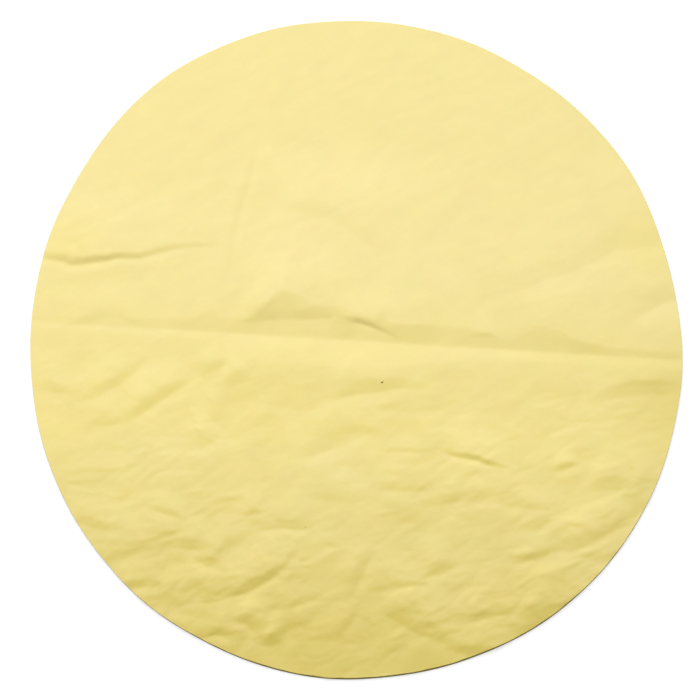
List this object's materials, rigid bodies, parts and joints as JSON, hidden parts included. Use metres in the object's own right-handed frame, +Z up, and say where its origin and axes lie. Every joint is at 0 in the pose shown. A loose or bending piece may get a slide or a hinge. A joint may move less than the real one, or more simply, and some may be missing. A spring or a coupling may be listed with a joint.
{
  "type": "pottery chamois",
  "caption": "Round of soft pale-yellow chamois leather for smoothing the rims of thrown pots, lying open with a straight valley fold across its middle and loose wrinkles in the near half.",
  "frame": {"origin": "on the bench, under the middle of the round", "axes": "+Z up from the bench, +X along the fold, +Y from the wrinkled near half to the smooth far half"},
  "size_m": [0.1985, 0.2004, 0.0021],
  "materials": {
    "chamois_suede": "matte, fine suede nap"
  },
  "bodies": {
    "near_half": {"near_half": "chamois_suede"},
    "far_half": {"far_half": "chamois_suede"}
  },
  "joints": [
    {"name": "half_fold", "type": "hinge", "parent": "near_half", "child": "far_half", "pos_m": [0, 0.0029, 0.0032], "axis": [1, 0, 0], "range_deg": [0, 180]}
  ]
}
